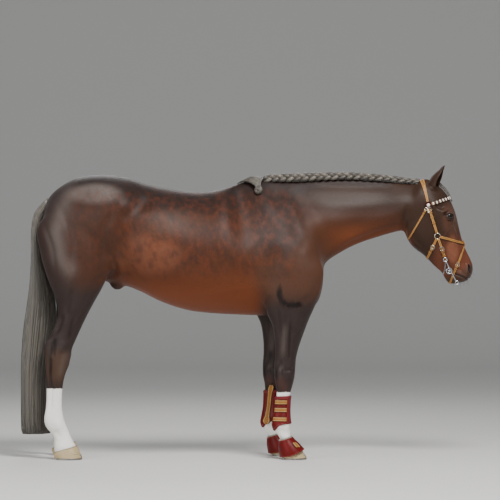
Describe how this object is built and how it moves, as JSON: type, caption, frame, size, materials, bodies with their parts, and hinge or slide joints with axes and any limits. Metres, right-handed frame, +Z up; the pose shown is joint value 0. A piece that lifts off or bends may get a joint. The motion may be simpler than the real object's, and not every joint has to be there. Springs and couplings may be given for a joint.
{
  "type": "standing saddle horse in a bridle and front leg boots, life-size still model",
  "caption": "Life-size standing horse, dark bay with plaited silver mane and full tail, in a pelham bridle, leg boots and bell boots; rests on shod hooves.",
  "frame": {"origin": "on the floor, midway between the tail's back and the nose, and midway between the two sides", "axes": "+X towards the nose, +Y towards the horse's left side, +Z up"},
  "size_m": [2.6614, 0.604, 1.72],
  "materials": {
    "coat": "short glossy coat, dark brown above and rust below, with white legs",
    "long_hair": "silver-grey mane and tail hair",
    "horn": "pale hoof horn with growth rings",
    "eye": "wet and glossy",
    "shoe_steel": "worn",
    "bit_steel": "polished",
    "tan_leather": "satin, stitched at the edges",
    "gilt": "polished",
    "red_boot": "satin",
    "red_rubber": "satin"
  },
  "bodies": {
    "root": {"head": "coat", "neck": "coat", "trunk": "coat", "fore_leg_right": "coat", "fore_leg_left": "coat", "hind_leg_right": "coat", "hind_leg_left": "coat", "ear_right": "coat", "ear_left": "coat", "eye_right": "eye", "eye_left": "eye", "hoof_fore_right": "horn", "hoof_fore_left": "horn", "hoof_hind_right": "horn", "hoof_hind_left": "horn", "shoe_fore_right": "shoe_steel", "shoe_fore_left": "shoe_steel", "shoe_hind_right": "shoe_steel", "shoe_hind_left": "shoe_steel", "tail": "long_hair", "forelock": "long_hair", "mane_braid": "long_hair", "mane_fan": "long_hair", "mane_bun": "long_hair", "crownpiece": "tan_leather", "browband": "tan_leather", "throatlash": "tan_leather", "noseband_upper": "tan_leather", "noseband_lower": "tan_leather", "jaw_strap": "tan_leather", "cheekpiece_right": "tan_leather", "cheekpiece_left": "tan_leather", "bit_strap_right": "tan_leather", "bit_strap_left": "tan_leather", "brow_stud_right": "gilt", "brow_stud_left": "gilt", "cheek_ring_right": "gilt", "cheek_ring_left": "gilt", "bit": "bit_steel", "leg_boot_right": "red_boot", "leg_boot_left": "red_boot", "boot_strap_1_right": "tan_leather", "boot_strap_2_right": "tan_leather", "boot_strap_3_right": "tan_leather", "boot_strap_1_left": "tan_leather", "boot_strap_2_left": "tan_leather", "boot_strap_3_left": "tan_leather", "boot_pad_right": "tan_leather", "boot_pad_left": "tan_leather", "bell_boot_right": "red_rubber", "bell_boot_left": "red_rubber"}
  },
  "joints": []
}
